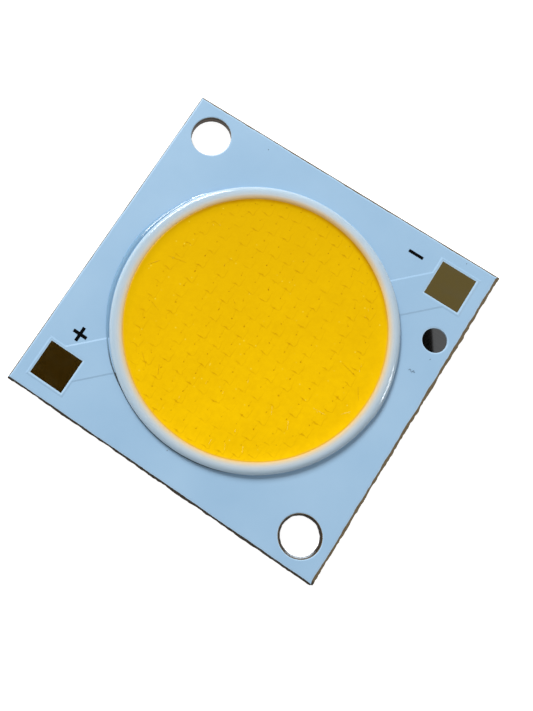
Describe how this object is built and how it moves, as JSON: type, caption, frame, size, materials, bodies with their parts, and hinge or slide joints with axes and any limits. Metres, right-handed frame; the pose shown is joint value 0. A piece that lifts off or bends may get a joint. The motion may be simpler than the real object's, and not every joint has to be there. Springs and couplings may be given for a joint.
{
  "type": "led module",
  "caption": "Square chip-on-board light module: aluminium plate with two screw holes, solder pads and a round white bead filled with yellow phosphor gel over the chips.",
  "frame": {"origin": "centre of the plate's flat back face", "axes": "+Z is the way the light leaves; +X and +Y run along the plate's edges, with the negative pad in the +X +Y corner and the positive pad in the -X -Y corner"},
  "size_m": [0.028, 0.028, 0.0014],
  "materials": {
    "plate": "mirror-polished face, plain cut edges and back",
    "laminate": "thin filled resin layer",
    "copper": "rolled copper foil",
    "solder_mask": "smooth white ink with a cool blue cast, low gloss",
    "gold_finish": "thin gold plating, mirror-like and slightly rough",
    "black_ink": "screen-printed ink",
    "white_silicone": "glossy cured silicone bead",
    "phosphor_gel": "soft translucent silicone with yellow phosphor, smooth surface",
    "chip": "polished sapphire with thin contact lines",
    "gold_wire": "drawn gold wire"
  },
  "bodies": {
    "root": {"base_plate": "plate", "insulating_laminate": "laminate", "copper_negative": "copper", "copper_positive": "copper", "solder_mask": "solder_mask", "pad_plating_negative": "gold_finish", "pad_plating_positive": "gold_finish", "plus_mark": "black_ink", "minus_mark": "black_ink", "dam_ring": "white_silicone", "phosphor_gel": "phosphor_gel", "chip_string_01": "chip", "chip_string_02": "chip", "chip_string_03": "chip", "chip_string_04": "chip", "chip_string_05": "chip", "chip_string_06": "chip", "chip_string_07": "chip", "chip_string_08": "chip", "chip_string_09": "chip", "chip_string_10": "chip", "chip_string_11": "chip", "chip_string_12": "chip", "bond_wires_01": "gold_wire", "bond_wires_02": "gold_wire", "bond_wires_03": "gold_wire", "bond_wires_04": "gold_wire", "bond_wires_05": "gold_wire", "bond_wires_06": "gold_wire", "bond_wires_07": "gold_wire", "bond_wires_08": "gold_wire", "bond_wires_09": "gold_wire", "bond_wires_10": "gold_wire", "bond_wires_11": "gold_wire", "bond_wires_12": "gold_wire"}
  },
  "joints": []
}
